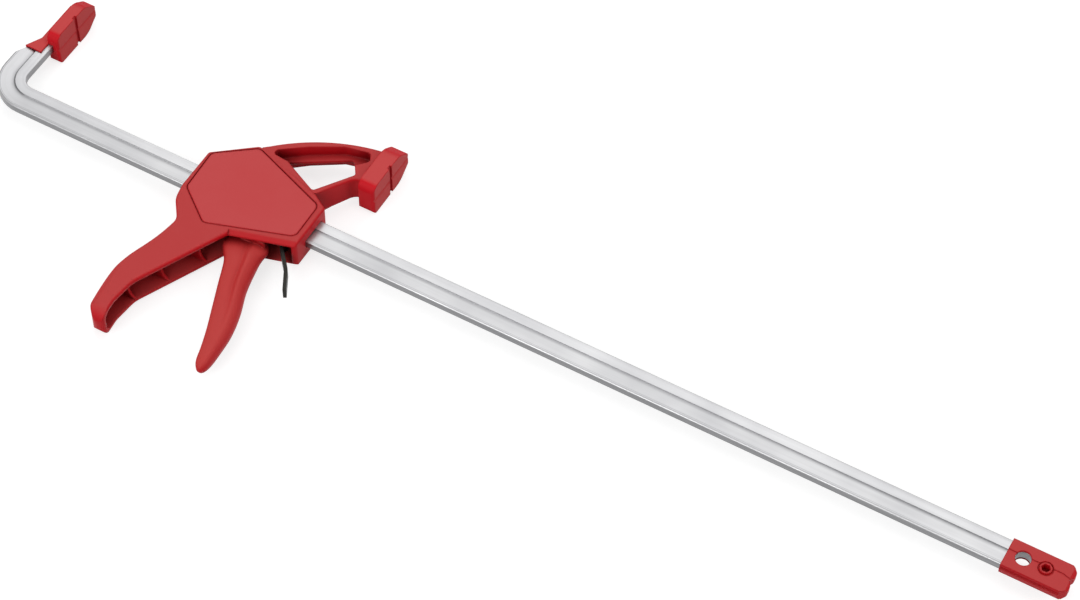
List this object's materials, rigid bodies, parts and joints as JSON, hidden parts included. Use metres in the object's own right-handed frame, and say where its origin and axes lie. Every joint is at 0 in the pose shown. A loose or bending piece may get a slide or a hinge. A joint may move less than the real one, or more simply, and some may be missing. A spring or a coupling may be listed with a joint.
{
  "type": "one-handed bar clamp",
  "caption": "One-handed bar clamp: a grooved flat steel bar bent into a fixed arm, a sliding head with pistol handle, squeeze trigger and release lever, moulded pads and a capped end.",
  "frame": {"origin": "axis of the hanging hole, at the middle of the bar's thickness", "axes": "+X along the bar from the fixed arm towards the end cap, +Y the way the jaws reach, +Z square to the flat of the bar, along the hanging hole"},
  "size_m": [0.8228, 0.231, 0.0272],
  "materials": {
    "bar_steel": "bright drawn steel, nickel plated",
    "red_plastic": "red fibre-filled moulded plastic, satin",
    "red_pad": "red moulded soft plastic, matt",
    "red_cover": "red moulded plastic panel, matt",
    "dark_steel": "dark oiled hardened steel",
    "pin_steel": "ground steel",
    "spring_steel": "zinc plated spring wire",
    "black_plastic": "black moulded plastic"
  },
  "bodies": {
    "bar": {"bar": "bar_steel", "end_cap": "red_plastic", "end_cap_peg": "red_plastic", "fixed_pad": "red_pad"},
    "head": {"head_housing": "red_plastic", "side_cover_upper": "red_cover", "side_cover_lower": "red_cover", "movable_pad": "red_pad", "trigger_pivot_pin": "pin_steel", "lever_fulcrum_pin": "pin_steel", "drive_spring": "spring_steel", "drive_spring_guide": "black_plastic", "brake_spring": "spring_steel"},
    "trigger": {"trigger": "red_plastic", "trigger_thrust_pin": "pin_steel"},
    "drive_plates": {"drive_plate_front": "dark_steel", "drive_plate_middle": "dark_steel", "drive_plate_rear": "dark_steel"},
    "release_lever": {"release_lever": "dark_steel"}
  },
  "joints": [
    {"name": "head_slide", "type": "slide", "parent": "bar", "child": "head", "axis": [1, 0, 0], "range_m": [-0.14, 0.508]},
    {"name": "trigger_hinge", "type": "hinge", "parent": "head", "child": "trigger", "pos_m": [-0.566, 0.0165, 0], "axis": [0, 0, -1], "range_deg": [0, 14], "stiffness_Nm_per_rad": 2.1, "springref_deg": -11.46},
    {"name": "drive_slide", "type": "slide", "parent": "head", "child": "drive_plates", "axis": [-1, 0, 0], "range_m": [0, 0.0078], "deforming": ["drive_spring"]},
    {"name": "release_hinge", "type": "hinge", "parent": "head", "child": "release_lever", "pos_m": [-0.54131, 0.01264, 0], "axis": [0, 0, -1], "range_deg": [0, 9], "stiffness_Nm_per_rad": 0.5, "springref_deg": -11.46, "deforming": ["brake_spring"]}
  ],
  "couplings": [
    {"joint": "drive_slide", "follows": "trigger_hinge", "m_per_rad": 0.0315}
  ]
}
